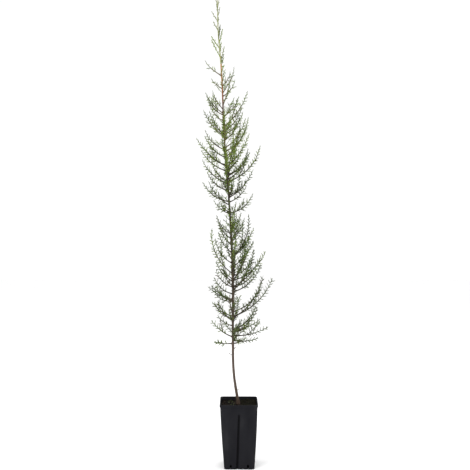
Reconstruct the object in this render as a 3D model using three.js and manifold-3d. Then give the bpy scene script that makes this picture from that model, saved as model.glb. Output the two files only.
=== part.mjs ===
// Potted Italian cypress: a slim young conifer, about 1.3 m tall, in a deep square nursery pot.
// Millimetres, +Z up. The origin is the middle of the pot's underside, +X is the plant's right side
// and +Y points to its back. Each limb is a circular arc that leaves the trunk and turns upwards.
import * as THREE from 'three';
import { mergeVertices } from 'three/addons/utils/BufferGeometryUtils.js';
import Module from 'manifold-3d';

const wasm = await Module();
wasm.setup();

// Pot: half widths of the square outline, then the wall, the lip and the moulded details.
const POT_HEIGHT = 205;
const FOOT_HALF = 48;
const TOP_HALF = 59.2;
const LIP_HALF = 60.5;
const LIP_HEIGHT = 8;
const CORNER_RADIUS = 9;
const WALL = 1.6;
const FLOOR = 4;
const GROOVE_RADIUS = 4;
const GROOVE_DEPTH = 3.4;
const GROOVE_TOP = 176;
const GROOVE_DRIFT = 7;
const DRAIN_OFFSET = 27;
const DRAIN_WIDTH = 5.5;
const DRAIN_HEIGHT = 9;
const DRAIN_BOTTOM = 5;
const ARCH_WIDTH = 26;
const ARCH_DEPTH = 10;
const ARCH_HEIGHT = 2.2;
const SOIL_TOP = 194;
const GAP = 0.3;

// Trunk: its centre line bows to the left above the soil and leans that way up to the leader.
const TRUNK_PATH = [
  [-3, 0, SOIL_TOP + GAP],
  [-18, -3, 299],
  [-20.5, 1, 414],
  [-21, 3, 604],
  [-32, -1, 834],
  [-48, 1, 1044],
  [-54.5, 0, 1209],
  [-59, 0, 1289],
];
const TRUNK_FOOT_RADIUS = 4.2;
const TRUNK_TIP_RADIUS = 2.1;
const FLARE_RADIUS = 2.6;
const FLARE_SHARE = 0.02;
const TRUNK_SIDES = 8;
const TRUNK_STEPS = 22;

// Leader: the green shoot that carries on from the trunk's tip to the top of the plant.
const LEADER_TIP = [-70.5, 0, 1494];
const LEADER_BOW = [-68, 2, 1394];
const LEADER_TWIGS = 14;
const LEADER_TWIG_LONG = 54;
const LEADER_TWIG_SHORT = 20;
const LEADER_SPREAD = 24;
const LEADER_SPREAD_SIDED = 9;
const LEADER_SPREAD_JITTER = 7;

// Crown outline: the limb tips on the right and on the left, from the lowest up. Each has its height,
// its reach from the trunk and the limb's lean from upright, in degrees.
const OUTLINE_RIGHT = [
  [439, 120, 78], [503, 88, 46], [600, 128, 45], [687, 109, 48], [806, 54, 20], [873, 75, 48],
  [947, 82, 42], [1027, 105, 41], [1118, 74, 29], [1204, 78, 33], [1275, 41, 26],
];
const OUTLINE_LEFT = [
  [391, 64, 88], [461, 73, 54], [522, 68, 55], [571, 82, 63], [654, 54, 38], [761, 66, 23],
  [851, 52, 48], [912, 94, 54], [1050, 96, 46], [1143, 68, 37], [1198, 57, 39], [1296, 56, 50],
];

// Limbs: four rows up the trunk, each with its compass bearing, its tips and the number of its lowest limbs
// that are bare at the foot. Between the two sides the tips are evenly spaced, and reach and lean are
// blended from both outlines.
const evenTips = (first, step, count) => Array.from({ length: count }, (_, index) => first + step * index);
const LIMB_ROWS = [
  { side: 'right', bearing: 0, boughs: 4, jitter: 0, tips: OUTLINE_RIGHT.map(([height]) => height) },
  { side: 'left', bearing: 180, boughs: 4, jitter: 0, tips: OUTLINE_LEFT.map(([height]) => height) },
  { side: 'front', bearing: -72, boughs: 3, jitter: 1, tips: evenTips(456, 98, 9) },
  { side: 'back', bearing: 72, boughs: 4, jitter: 1, tips: evenTips(428, 103, 8) },
];
const TIP_JITTER = 12;
const LEAN_JITTER = 6;
const BARE_SHARE = 0.2;
const BEARING_JITTER = 26;
const LIMB_FOOT_RADIUS = 1.9;
const LIMB_TIP_RADIUS = 0.3;
const SWAY = 3;
const LIMB_STEPS = 5;

// Bend: how much steeper a limb stands at its tip than at its foot, and the flattest foot, in degrees.
const BEND = 48;
const BEND_JITTER = 16;
const FLATTEST = 95;

// Fork: a second, steeper shoot that leaves each limb near its foot, except on the topmost limbs.
const FORK_BELOW = 1235;
const FORK_AT = 0.2;
const FORK_SPREAD = 44;
const FORK_STEEPER = 14;
const FORK_LENGTH = 0.6;
const FORK_THICKNESS = 0.6;
const FORK_STEPS = 3;

// Leafy twigs: how many stand on a limb and on its fork, then their lengths, spread and thickness.
const LIMB_TWIGS = 8;
const FORK_TWIGS = 3;
const TWIG_SHORT = 17;
const TWIG_SHARE = 0.28;
const TWIG_SPREAD = 46;
const TWIG_THICKNESS = 0.09;
const TWIG_FULL = 36;
const TWIG_BELLY = 0.36;
const TWIG_ROOT_RADIUS = 0.3;
const CLEARANCE = 0.6;

const UP = new THREE.Vector3(0, 0, 1);
const radians = THREE.MathUtils.degToRad;
const lerp = THREE.MathUtils.lerp;

// A fixed share from 0 to 1 for one draw on one twig of one limb.
function roll(limb, twig, draw) {
  const wave = Math.sin(limb * 12.9898 + twig * 78.233 + draw * 37.719) * 43758.5453;
  return wave - Math.floor(wave);
}

// The same share spread from -1 to 1.
const swing = (limb, twig, draw) => 2 * roll(limb, twig, draw) - 1;

// The reach or lean at a height, on straight lines between the tips of an outline.
function outlineAt(outline, height, column) {
  const upper = outline.findIndex(([top]) => top >= height);
  if (upper === 0) return outline[0][column];
  if (upper < 0) return outline[outline.length - 1][column];
  const low = outline[upper - 1];
  const high = outline[upper];
  return lerp(low[column], high[column], (height - low[0]) / (high[0] - low[0]));
}

// Closed three.js geometry as a solid that can be joined and cut.
function solidOf(geometry) {
  const bare = geometry.clone();
  bare.deleteAttribute('normal');
  bare.deleteAttribute('uv');
  const merged = mergeVertices(bare, 1e-4);
  return new wasm.Manifold(new wasm.Mesh({
    numProp: 3,
    vertProperties: new Float32Array(merged.attributes.position.array),
    triVerts: new Uint32Array(merged.index.array),
  }));
}

// A solid back as three.js geometry.
function geometryOf(solid) {
  const { vertProperties, triVerts } = solid.getMesh();
  const geometry = new THREE.BufferGeometry();
  geometry.setAttribute('position', new THREE.BufferAttribute(vertProperties, 3));
  geometry.setIndex(new THREE.BufferAttribute(triVerts, 1));
  geometry.computeVertexNormals();
  return geometry;
}

const joined = (solids) => solids.reduce((whole, piece) => whole.add(piece));

// A cylinder bent along pointAt(t), with its radius from radiusAt(t). A level limb keeps its rings flat.
function bentTaper(pointAt, radiusAt, sides, steps, level = false) {
  const geometry = new THREE.CylinderGeometry(1, 1, 1, sides, steps);
  const position = geometry.attributes.position;
  const near = 1e-3;
  for (let i = 0; i < position.count; i++) {
    const t = position.getY(i) + 0.5;
    const along = pointAt(Math.min(t + near, 1)).sub(pointAt(Math.max(t - near, 0))).normalize();
    const axis = level ? UP : along;
    const side = level ? new THREE.Vector3(1, 0, 0) : axis.clone().cross(UP).normalize();
    const across = side.clone().cross(axis);
    const radius = radiusAt(t);
    const point = pointAt(t)
      .addScaledVector(side, position.getX(i) * radius)
      .addScaledVector(across, position.getZ(i) * radius);
    position.setXYZ(i, point.x, point.y, point.z);
  }
  return geometry;
}

// Pot

// A square with rounded corners, drawn anticlockwise.
function roundedSquare(half, radius) {
  const shape = new THREE.Shape();
  const centre = half - radius;
  [0, 1, 2, 3].forEach((corner) => {
    const start = (corner * Math.PI) / 2;
    const x = centre * (corner === 0 || corner === 3 ? 1 : -1);
    const y = centre * (corner < 2 ? 1 : -1);
    shape.absarc(x, y, radius, start, start + Math.PI / 2, false);
  });
  return shape;
}

// A prism on that square whose half width runs from lowHalf at its foot to highHalf at its top.
function taperedPrism(lowHalf, highHalf, radius, bottom, top) {
  const geometry = new THREE.ExtrudeGeometry(roundedSquare(highHalf, radius), {
    depth: top - bottom, steps: 1, bevelEnabled: false, curveSegments: 4,
  });
  const position = geometry.attributes.position;
  for (let i = 0; i < position.count; i++) {
    const share = lerp(lowHalf / highHalf, 1, position.getZ(i) / (top - bottom));
    position.setXY(i, position.getX(i) * share, position.getY(i) * share);
  }
  return solidOf(geometry.translate(0, 0, bottom));
}

// The round bar that presses one groove into the front wall, from under the pot up to the groove's top.
function grooveBar(inset) {
  const radius = GROOVE_RADIUS + inset;
  const standOff = GROOVE_RADIUS - GROOVE_DEPTH;
  const slope = (TOP_HALF - FOOT_HALF) / POT_HEIGHT;
  const foot = new THREE.Vector3(-GROOVE_DRIFT, -FOOT_HALF - standOff, 0);
  const head = new THREE.Vector3(0, -FOOT_HALF - standOff - slope * GROOVE_TOP, GROOVE_TOP - GROOVE_RADIUS);
  const along = head.clone().sub(foot);
  const start = foot.clone().addScaledVector(along.clone().normalize(), -4 * GROOVE_RADIUS);
  const length = head.distanceTo(start);
  const geometry = new THREE.CapsuleGeometry(radius, length, 2, 8);
  const turn = new THREE.Quaternion().setFromUnitVectors(new THREE.Vector3(0, 1, 0), along.normalize());
  const middle = start.lerp(head, 0.5);
  return geometry.applyQuaternion(turn).translate(middle.x, middle.y, middle.z);
}

// Four copies of a cutter made for the front wall, one on each side of the pot.
function onFourWalls(geometry) {
  return joined([0, 1, 2, 3].map((turn) => solidOf(geometry.clone().rotateZ((turn * Math.PI) / 2))));
}

// The pot's outer form brought in by an inset, with its four grooves.
function potForm(inset) {
  const prism = taperedPrism(FOOT_HALF - inset, TOP_HALF - inset, CORNER_RADIUS - inset, 0, POT_HEIGHT);
  return prism.subtract(onFourWalls(grooveBar(inset)));
}

// A block between two heights that is wider than the pot.
function slab(bottom, top) {
  const wide = 4 * LIP_HALF;
  return solidOf(new THREE.BoxGeometry(wide, wide, top - bottom).translate(0, 0, (top + bottom) / 2));
}

// Two drain slots and one drain arch at the foot of the front wall.
function drainCutters() {
  const reach = 6 * WALL;
  const slots = [-1, 1].map((side) => new THREE.BoxGeometry(DRAIN_WIDTH, reach, DRAIN_HEIGHT)
    .translate(side * DRAIN_OFFSET, -FOOT_HALF, DRAIN_BOTTOM + DRAIN_HEIGHT / 2));
  const arch = new THREE.BoxGeometry(ARCH_WIDTH, 2 * ARCH_DEPTH, 2 * ARCH_HEIGHT)
    .translate(0, -FOOT_HALF, 0);
  return [...slots, arch].map(onFourWalls);
}

function potSolid() {
  const lipBottom = POT_HEIGHT - LIP_HEIGHT;
  const lip = taperedPrism(LIP_HALF, LIP_HALF, CORNER_RADIUS + LIP_HALF - TOP_HALF, lipBottom, POT_HEIGHT);
  const inside = potForm(WALL).intersect(slab(FLOOR, 2 * POT_HEIGHT));
  return drainCutters().reduce((pot, cutter) => pot.subtract(cutter), potForm(0).add(lip).subtract(inside));
}

const soilSolid = () => potForm(WALL + 1.2 * GAP).intersect(slab(FLOOR + GAP, SOIL_TOP));

// Trunk

const trunkCurve = new THREE.CatmullRomCurve3(TRUNK_PATH.map((point) => new THREE.Vector3(...point)));
const trunkAt = (t) => trunkCurve.getPointAt(t);

function trunkRadius(t) {
  const flare = FLARE_RADIUS * Math.exp(-t / FLARE_SHARE);
  return lerp(TRUNK_FOOT_RADIUS, TRUNK_TIP_RADIUS, Math.pow(t, 1.15)) + flare;
}

// The share of the way up the trunk at a height.
function trunkShare(height) {
  let low = 0;
  let high = 1;
  for (let halving = 0; halving < 24; halving++) {
    const middle = (low + high) / 2;
    if (trunkAt(middle).z < height) low = middle;
    else high = middle;
  }
  return low;
}

// Limbs

// How far out and up an arc of length 1 gets, at a share of its length.
function arcReach(leave, arrive, share) {
  const start = radians(leave);
  const turn = radians(arrive - leave);
  const angle = start + turn * share;
  return {
    out: (Math.cos(start) - Math.cos(angle)) / turn,
    up: (Math.sin(angle) - Math.sin(start)) / turn,
  };
}

// A point on a limb or fork, at a share of its length.
function limbPoint(limb, share) {
  const { out, up } = arcReach(limb.leave, limb.arrive, share);
  const bearing = radians(limb.bearing);
  const sway = limb.sway * Math.sin(2 * Math.PI * share);
  const point = limb.foot.clone();
  point.x += limb.length * out * Math.cos(bearing) - sway * Math.sin(bearing);
  point.y += limb.length * out * Math.sin(bearing) + sway * Math.cos(bearing);
  point.z += limb.length * up;
  return point;
}

// A limb of the crown, worked out from where its tip has to be.
function limbFor(row, index, number) {
  const tipHeight = row.tips[index] + row.jitter * TIP_JITTER * swing(number, 0, 1);
  const right = (1 + Math.cos(radians(row.bearing))) / 2;
  const blend = (column) => lerp(outlineAt(OUTLINE_LEFT, tipHeight, column),
    outlineAt(OUTLINE_RIGHT, tipHeight, column), right);
  const reach = blend(1);
  const lean = blend(2) + row.jitter * LEAN_JITTER * swing(number, 0, 8);
  const bend = Math.min(BEND + BEND_JITTER * swing(number, 0, 2), 2 * (FLATTEST - lean));
  const leave = lean + bend / 2;
  const arrive = lean - bend / 2;
  const whole = arcReach(leave, arrive, 1);
  const rise = whole.up / whole.out;
  const footRadius = LIMB_FOOT_RADIUS * Math.min(1, 0.45 + reach / 150);
  const trunkWidth = trunkRadius(trunkShare(tipHeight - rise * reach));
  const standOff = trunkWidth + 1.3 * GAP + footRadius * Math.abs(Math.cos(radians(leave)));
  const trunkPlace = trunkShare(tipHeight - rise * (reach - standOff));
  const bearing = row.bearing + BEARING_JITTER * swing(number, 0, 3);
  const foot = trunkAt(trunkPlace);
  foot.x += standOff * Math.cos(radians(bearing));
  foot.y += standOff * Math.sin(radians(bearing));
  return {
    number, bearing, leave, arrive, foot, footRadius,
    name: `${row.side}_${String(index + 1).padStart(2, '0')}`,
    length: (reach - standOff) / whole.out,
    sway: SWAY * swing(number, 0, 4),
    bare: index < row.boughs,
    forked: tipHeight < FORK_BELOW,
  };
}

// The fork of a limb: a shorter arc with its own bearing that starts on the limb.
function forkOf(limb) {
  const side = roll(limb.number, 0, 5) < 0.5 ? -1 : 1;
  const start = forkShare(limb);
  const leave = lerp(limb.leave, limb.arrive, start) - FORK_STEEPER;
  return {
    ...limb,
    foot: limbPoint(limb, start),
    bearing: limb.bearing + side * FORK_SPREAD * (0.75 + 0.5 * roll(limb.number, 0, 6)),
    leave,
    arrive: limb.arrive - 3,
    length: limb.length * FORK_LENGTH * (0.85 + 0.3 * roll(limb.number, 0, 7)),
    footRadius: limbRadius(limb, start) * FORK_THICKNESS,
    sway: 0,
  };
}

const foliageStart = (limb) => (limb.bare ? BARE_SHARE : 0);
const forkShare = (limb) => foliageStart(limb) + FORK_AT * (1 - foliageStart(limb));
const limbRadius = (limb, share) => lerp(limb.footRadius, LIMB_TIP_RADIUS, Math.pow(share, 2.2));

// Spaces that are taken, as capsules: two ends, a radius and the piece that owns them.
const taken = [];
const line = new THREE.Line3();
const pointOnOther = new THREE.Vector3();

// Nearest distance between two capsules' centre lines, from points along the first.
function lineGap(a, b) {
  line.set(b.from, b.to);
  const checks = 9;
  let nearest = Infinity;
  for (let i = 0; i < checks; i++) {
    const point = a.from.clone().lerp(a.to, i / (checks - 1));
    line.closestPointToPoint(point, true, pointOnOther);
    nearest = Math.min(nearest, point.distanceTo(pointOnOther));
  }
  return nearest;
}

const isClear = (space) => taken.every((other) => other.owner === space.owner
  || lineGap(space, other) > space.radius + other.radius + CLEARANCE);

// The capsules along a bent limb.
function limbSpaces(pointAt, radiusAt, steps, owner) {
  return Array.from({ length: steps }, (_, i) => ({
    from: pointAt(i / steps),
    to: pointAt((i + 1) / steps),
    radius: radiusAt(i / steps),
    owner,
  }));
}

// A leafy twig: a three-sided spindle, thin at its root in the middle of the stem and fullest low down.
function twigSolid(from, direction, length, radius) {
  const geometry = new THREE.ConeGeometry(1, length, 3, 2);
  const position = geometry.attributes.position;
  for (let i = 0; i < position.count; i++) {
    const share = position.getY(i) / length + 0.5;
    const middle = share > 0.25 && share < 0.75;
    const spread = middle ? 2 * radius : TWIG_ROOT_RADIUS;
    const height = middle ? TWIG_BELLY : share;
    position.setXYZ(i, position.getX(i) * spread, height * length, position.getZ(i) * spread);
  }
  const turn = new THREE.Quaternion().setFromUnitVectors(new THREE.Vector3(0, 1, 0), direction);
  return solidOf(geometry.applyQuaternion(turn).translate(from.x, from.y, from.z));
}

// The way a twig leaves a stem: spread degrees off the stem's line, turned about it by around degrees.
function sideWay(along, spread, around) {
  const side = along.clone().cross(Math.abs(along.z) > 0.97 ? new THREE.Vector3(0, 1, 0) : UP).normalize();
  const top = side.clone().cross(along);
  const across = side.multiplyScalar(Math.cos(radians(around)));
  across.addScaledVector(top, Math.sin(radians(around)));
  return along.clone().multiplyScalar(Math.cos(radians(spread)))
    .addScaledVector(across, Math.sin(radians(spread))).normalize();
}

// Adds a twig where there is room for it.
function addTwig(pieces, owner, from, direction, length) {
  const radius = TWIG_THICKNESS * Math.min(length, TWIG_FULL);
  const tip = from.clone().addScaledVector(direction, length);
  const space = { from: from.clone().lerp(tip, 0.2), to: from.clone().lerp(tip, 0.9), radius, owner };
  if (!isClear(space)) return;
  taken.push(space);
  pieces.push(twigSolid(from, direction, length, radius));
}

// The point on the straight stretch between two rings of a stem, at a share of the whole limb.
function stemPoint(stem, start, steps, share) {
  const ring = Math.min(steps - 1, Math.floor((steps * (share - start)) / (1 - start)));
  const low = lerp(start, 1, ring / steps);
  const high = lerp(start, 1, (ring + 1) / steps);
  return limbPoint(stem, low).lerp(limbPoint(stem, high), (share - low) / (high - low));
}

// The way a limb runs at a share of its length.
function limbWay(limb, share) {
  return limbPoint(limb, share + 0.01).sub(limbPoint(limb, share - 0.01)).normalize();
}

// Leafy twigs in crossed pairs along a stem from one share to its end, shorter towards its tip.
function addTwigs(pieces, owner, stem, start, steps, first, count, draw) {
  for (let twig = 0; twig < count; twig++) {
    const share = lerp(first, 0.94, (twig + 0.5) / count);
    const around = 90 * twig + 45 + 22 * swing(stem.number, twig, draw);
    const length = TWIG_SHORT + stem.length * TWIG_SHARE * (1 - share)
      * (0.6 + 0.6 * roll(stem.number, twig, draw + 1));
    const direction = sideWay(limbWay(stem, share), TWIG_SPREAD, around);
    addTwig(pieces, owner, stemPoint(stem, start, steps, share), direction, length);
  }
}

// Foliage masses

function foliageSolid(limb) {
  const owner = `foliage_${limb.name}`;
  const start = foliageStart(limb) + (limb.bare ? GAP / limb.length : 0);
  const stemAt = (t) => limbPoint(limb, lerp(start, 1, t));
  const pieces = [solidOf(bentTaper(stemAt, (t) => limbRadius(limb, lerp(start, 1, t)), 4, LIMB_STEPS))];
  const fork = forkOf(limb);
  const forkAt = (t) => limbPoint(fork, t);
  const forkRadius = (t) => limbRadius(fork, t);
  const forkSpaces = limbSpaces((t) => forkAt(lerp(0.1, 1, t)), forkRadius, 5, owner);
  if (limb.forked && forkSpaces.every(isClear)) {
    taken.push(...forkSpaces);
    pieces.push(solidOf(bentTaper(forkAt, forkRadius, 4, FORK_STEPS)));
    addTwigs(pieces, owner, fork, 0, FORK_STEPS, 0.3, FORK_TWIGS, 30);
  }
  addTwigs(pieces, owner, limb, start, LIMB_STEPS, Math.max(start, 0.12), LIMB_TWIGS, 10);
  return joined(pieces);
}

const leaderCurve = new THREE.CatmullRomCurve3([
  trunkAt(1).add(new THREE.Vector3(0, 0, GAP)),
  new THREE.Vector3(...LEADER_BOW),
  new THREE.Vector3(...LEADER_TIP),
]);
const leaderAt = (t) => leaderCurve.getPointAt(t);
const leaderRadius = (t) => lerp(TRUNK_TIP_RADIUS - 0.1, LIMB_TIP_RADIUS, t * t);

// The leader has short twigs all the way up, two of every three to the left and right.
function leaderSolid() {
  const owner = 'leader_shoot';
  const pieces = [solidOf(bentTaper(leaderAt, leaderRadius, 4, 8, true))];
  for (let twig = 0; twig < LEADER_TWIGS; twig++) {
    const share = lerp(0.03, 0.95, twig / (LEADER_TWIGS - 1));
    const length = lerp(LEADER_TWIG_LONG, LEADER_TWIG_SHORT, share) * (0.8 + 0.35 * roll(99, twig, 1));
    const quarter = twig % 3 === 2 ? 90 : 0;
    const bearing = radians(180 * twig + quarter + 25 * swing(99, twig, 2));
    const sided = LEADER_SPREAD_SIDED * Math.cos(bearing);
    const spread = radians(LEADER_SPREAD - sided + LEADER_SPREAD_JITTER * swing(99, twig, 3));
    const outward = new THREE.Vector3(Math.cos(bearing), Math.sin(bearing), 0);
    const direction = outward.multiplyScalar(Math.sin(spread)).addScaledVector(UP, Math.cos(spread));
    addTwig(pieces, owner, leaderAt(share), direction, length);
  }
  return joined(pieces);
}

// Assembly

const finish = (color, roughness) => new THREE.MeshStandardMaterial({ color, roughness, metalness: 0 });
const potPlastic = finish(0x26262a, 0.55);
const compost = finish(0x2e241b, 0.95);
const bark = finish(0x5f4a36, 0.85);
const limbBark = finish(0x6d4a32, 0.8);
const greenery = finish(0x5f7048, 0.75);

const plant = new THREE.Group();

function addPart(name, solid, material) {
  const mesh = new THREE.Mesh(geometryOf(solid), material);
  mesh.name = name;
  plant.add(mesh);
}

const limbs = [];
LIMB_ROWS.forEach((row) => {
  row.tips.forEach((tip, index) => limbs.push(limbFor(row, index, limbs.length + 1)));
});

addPart('pot', potSolid(), potPlastic);
addPart('soil', soilSolid(), compost);
addPart('trunk', solidOf(bentTaper(trunkAt, trunkRadius, TRUNK_SIDES, TRUNK_STEPS, true)), bark);
taken.push(...limbSpaces(trunkAt, trunkRadius, TRUNK_STEPS, 'trunk'));
taken.push(...limbSpaces(leaderAt, leaderRadius, 8, 'leader_shoot'));

// Every limb's own line is taken before any fork, twig or leaf looks for room.
limbs.forEach((limb) => {
  const owner = `foliage_${limb.name}`;
  const bareEnd = foliageStart(limb);
  if (limb.bare) {
    const boughAt = (t) => limbPoint(limb, bareEnd * t);
    const boughRadius = (t) => limbRadius(limb, bareEnd * t);
    addPart(`bough_${limb.name}`, solidOf(bentTaper(boughAt, boughRadius, 6, 3)), limbBark);
    taken.push(...limbSpaces(boughAt, boughRadius, 4, `bough_${limb.name}`));
  }
  const stemAt = (t) => limbPoint(limb, lerp(bareEnd, 1, t));
  taken.push(...limbSpaces(stemAt, (t) => limbRadius(limb, lerp(bareEnd, 1, t)), 6, owner));
});

addPart('leader_shoot', leaderSolid(), greenery);
limbs.forEach((limb) => addPart(`foliage_${limb.name}`, foliageSolid(limb), greenery));

export default plant;
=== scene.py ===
# %% [markdown]
# # A potted Italian cypress
# A slim young conifer in a deep square nursery pot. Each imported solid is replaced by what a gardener
# sees close up: moulded plastic, crumbly compost, fibrous bark, and twigs covered in scale leaves. The
# frame's box is kept, because the finished plant has to stay inside it.

# %% Load the frame
import math
from types import SimpleNamespace

import bmesh
import bpy
import numpy as np
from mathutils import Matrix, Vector, noise


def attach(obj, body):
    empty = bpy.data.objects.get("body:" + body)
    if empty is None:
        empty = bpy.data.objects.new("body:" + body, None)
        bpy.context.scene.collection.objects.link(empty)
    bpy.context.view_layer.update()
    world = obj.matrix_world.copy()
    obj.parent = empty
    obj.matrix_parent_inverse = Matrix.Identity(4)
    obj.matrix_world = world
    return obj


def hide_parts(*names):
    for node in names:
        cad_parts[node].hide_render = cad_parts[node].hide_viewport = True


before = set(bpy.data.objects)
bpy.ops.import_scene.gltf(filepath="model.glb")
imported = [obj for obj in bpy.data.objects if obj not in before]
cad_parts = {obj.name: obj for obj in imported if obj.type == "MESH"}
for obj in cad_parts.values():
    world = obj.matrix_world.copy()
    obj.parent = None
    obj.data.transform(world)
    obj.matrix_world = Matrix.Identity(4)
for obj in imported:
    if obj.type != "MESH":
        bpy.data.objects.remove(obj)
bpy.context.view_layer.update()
scene = bpy.context.scene
MM = 0.001

# %% [markdown]
# ## Camera
# The picture was taken from about 2.2 m away at half the plant's height, with the camera level: the
# pot's rim is seen slightly from above while the trunk stays upright. A 52 mm lens repeats that.

# %% Camera
view = bpy.data.cameras.new("view")
view.lens = 52.0
view.sensor_width = 36.0
camera = bpy.data.objects.new("camera", view)
camera.location = (-0.0138, -2.184, 0.738)
camera.rotation_euler = (math.radians(90), 0, 0)
scene.collection.objects.link(camera)
scene.camera = camera
print("camera at", camera.location, "with a lens of", view.lens, "mm")

# %% [markdown]
# ## Floor and light
# In a white studio light comes softly from everywhere, here a little stronger from the upper left. A
# white world and three large area lamps do this, and the Standard view keeps white as white. Every
# finish is a shader fed with noise, so a small class holds what they share.

# %% Finishes: shaders fed with noise
class Finish:
    """A material whose shader is fed with noise on Object coordinates, in metres."""

    def __init__(self, name, colour, roughness, specular):
        self.material = bpy.data.materials.new(name)
        self.material.use_nodes = True
        self.tree = self.material.node_tree
        self.shader = self.tree.nodes["Principled BSDF"]
        constants = {"Base Color": (*colour, 1), "Roughness": roughness, "Specular IOR Level": specular}
        self.feed(self.shader, constants)

    def feed(self, node, sockets):
        """Set a node's sockets to plain values, or link other nodes' outputs to them."""
        for name, value in sockets.items():
            if isinstance(value, bpy.types.NodeSocket):
                self.tree.links.new(value, node.inputs[name])
            else:
                node.inputs[name].default_value = value

    def node(self, kind, **sockets):
        """A new node with its sockets fed."""
        made = self.tree.nodes.new("ShaderNode" + kind)
        self.feed(made, sockets)
        return made

    def pattern(self, scale, detail=4.0, stretch=(1, 1, 1)):
        """A noise pattern, stretched along the axes."""
        place = self.node("TexCoord").outputs["Object"]
        turn = self.node("Mapping", Vector=place, Scale=stretch).outputs["Vector"]
        return self.node("TexNoise", Vector=turn, Scale=scale, Detail=detail).outputs["Fac"]

    def ramp(self, value, stops):
        """Colours, or grey values, dealt out along a value from 0 to 1."""
        ramp = self.node("ValToRGB", Fac=value)
        band = ramp.color_ramp.elements
        while len(band) < len(stops):
            band.new(0.5)
        for element, (place, colour) in zip(band, stops):
            element.position = place
            element.color = (*colour, 1) if isinstance(colour, tuple) else (colour, colour, colour, 1)
        return ramp.outputs["Color"]

    def colour(self, tone, shade=None):
        """Base colour from one pattern, or from two multiplied."""
        if shade is not None:
            blend = self.node("Mix")
            blend.data_type = "RGBA"
            blend.blend_type = "MULTIPLY"
            self.feed(blend, {"Factor": 1.0, "A": tone, "B": shade})
            tone = blend.outputs["Result"]
        self.feed(self.shader, {"Base Color": tone})

    def wear(self, low, high, *pattern, full=0.7):
        """Roughness that wanders between two values."""
        stops = [(0.3, low), (full, high)]
        self.feed(self.shader, {"Roughness": self.ramp(self.pattern(*pattern), stops)})

    def grain(self, strength, height, *pattern):
        """A fine bump of this real height, in metres."""
        bump = self.node("Bump", Height=self.pattern(*pattern), Strength=strength, Distance=height)
        self.feed(self.shader, {"Normal": bump.outputs["Normal"]})


studio_white = Finish("studio_white", (0.97, 0.97, 0.97), 0.8, 0.2)
studio_white.wear(0.78, 0.84, 1.5)
print("first finish:", studio_white.material.name)

# %% A white floor
FLOOR_HALF = 9.0
bm = bmesh.new()
bmesh.ops.create_grid(bm, x_segments=8, y_segments=8, size=FLOOR_HALF)
floor_mesh = bpy.data.meshes.new("floor")
bm.to_mesh(floor_mesh)
bm.free()
floor_mesh.materials.append(studio_white.material)
floor = bpy.data.objects.new("floor", floor_mesh)
scene.collection.objects.link(floor)
print("floor", len(floor_mesh.polygons), "faces")

# %% White surroundings and three soft lamps
world = bpy.data.worlds.new("white_studio")
scene.world = world
world.use_nodes = True
sky = world.node_tree.nodes["Background"].inputs
sky["Color"].default_value = (1, 1, 1, 1)
sky["Strength"].default_value = 1.03
scene.view_settings.view_transform = "Standard"


def soft_lamp(name, place, aim, size, watts):
    """A square area lamp aimed at a point."""
    light = bpy.data.lights.new(name, "AREA")
    light.size = size
    light.energy = watts
    lamp = bpy.data.objects.new(name, light)
    lamp.location = place
    lamp.rotation_euler = (Vector(aim) - Vector(place)).to_track_quat("-Z", "Y").to_euler()
    scene.collection.objects.link(lamp)


soft_lamp("key_lamp", (-1.7, -1.9, 2.4), (0, 0, 0.7), 1.6, 42)
soft_lamp("fill_lamp", (1.9, -1.4, 1.2), (0, 0, 0.7), 1.6, 12)
soft_lamp("back_lamp", (0.6, 2.0, 2.3), (0, 0, 0.9), 1.4, 20)

# %% [markdown]
# ## The pot
# The pot is thin black plastic, moulded in one go: a tapering square with rounded corners, a rolled
# lip, a slanting groove in each wall to stiffen it, and drain slots at the foot. One rounded square
# ring is extruded up the outside, over the lip and down the inside. Each ring knows its columns, so
# both faces of the wall get the groove.

# %% The pot's sizes and the shape of its wall, in millimetres
POT_HEIGHT, FOOT_HALF, TOP_HALF, LIP_HALF, WALL = 205, 48, 59.2, 60.5, 1.6
GROOVE_RADIUS, GROOVE_DEPTH, GROOVE_TOP, GROOVE_DRIFT = 4, 3.4, 176, 7
DRAIN_OFFSET, DRAIN_HALF, DRAIN_LOW, DRAIN_HIGH = 27, 2.8, 5, 14
ARCH_HALF, ARCH_HEIGHT, ARCH_EASE = 13, 2.2, 1.5
LEAN_AT_RIM, BULGE, SLACK = -1.5, 1.1, 0.55


def wall_half(height):
    """Half the pot's outside width at a height."""
    return FOOT_HALF + (TOP_HALF - FOOT_HALF) * height / POT_HEIGHT


def along_wall(x, y):
    """How far along its own wall a point lies, and that wall's outward direction."""
    if abs(y) >= abs(x):
        return (x, (0, -1)) if y < 0 else (-x, (0, 1))
    return (y, (1, 0)) if x > 0 else (-y, (-1, 0))


def groove_depth(along, height):
    """How deep the groove is pressed into a wall."""
    top = GROOVE_TOP - GROOVE_RADIUS
    off = along + GROOVE_DRIFT * (1 - height / top)
    past = max(0.0, height - top)
    inside = GROOVE_RADIUS ** 2 - off * off - past * past
    return max(0.0, math.sqrt(max(0.0, inside)) - GROOVE_RADIUS + GROOVE_DEPTH)


def pot_lean(height):
    """The soft pot leans a little to the left."""
    return LEAN_AT_RIM * height / POT_HEIGHT


def pot_point(column, half, height):
    """A ring's column taken out to this half width at this height."""
    half += BULGE * math.sin(math.pi * height / POT_HEIGHT)
    x, y = column.x * half, column.y * half
    along, (ox, oy) = along_wall(x, y)
    wave = noise.noise((column.x * 1.7, column.y * 1.7, height / 70))
    push = SLACK * wave * min(1, height / 40) - groove_depth(along, height)
    if height < ARCH_HEIGHT and abs(along) < ARCH_HALF:
        height += (ARCH_HEIGHT - height) * min(1, (ARCH_HALF - abs(along)) / ARCH_EASE)
    return Vector((x + ox * push + pot_lean(height), y + oy * push, height)) * MM


print("groove at mid height is", round(groove_depth(-GROOVE_DRIFT / 2, 83), 2), "mm deep")


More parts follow.
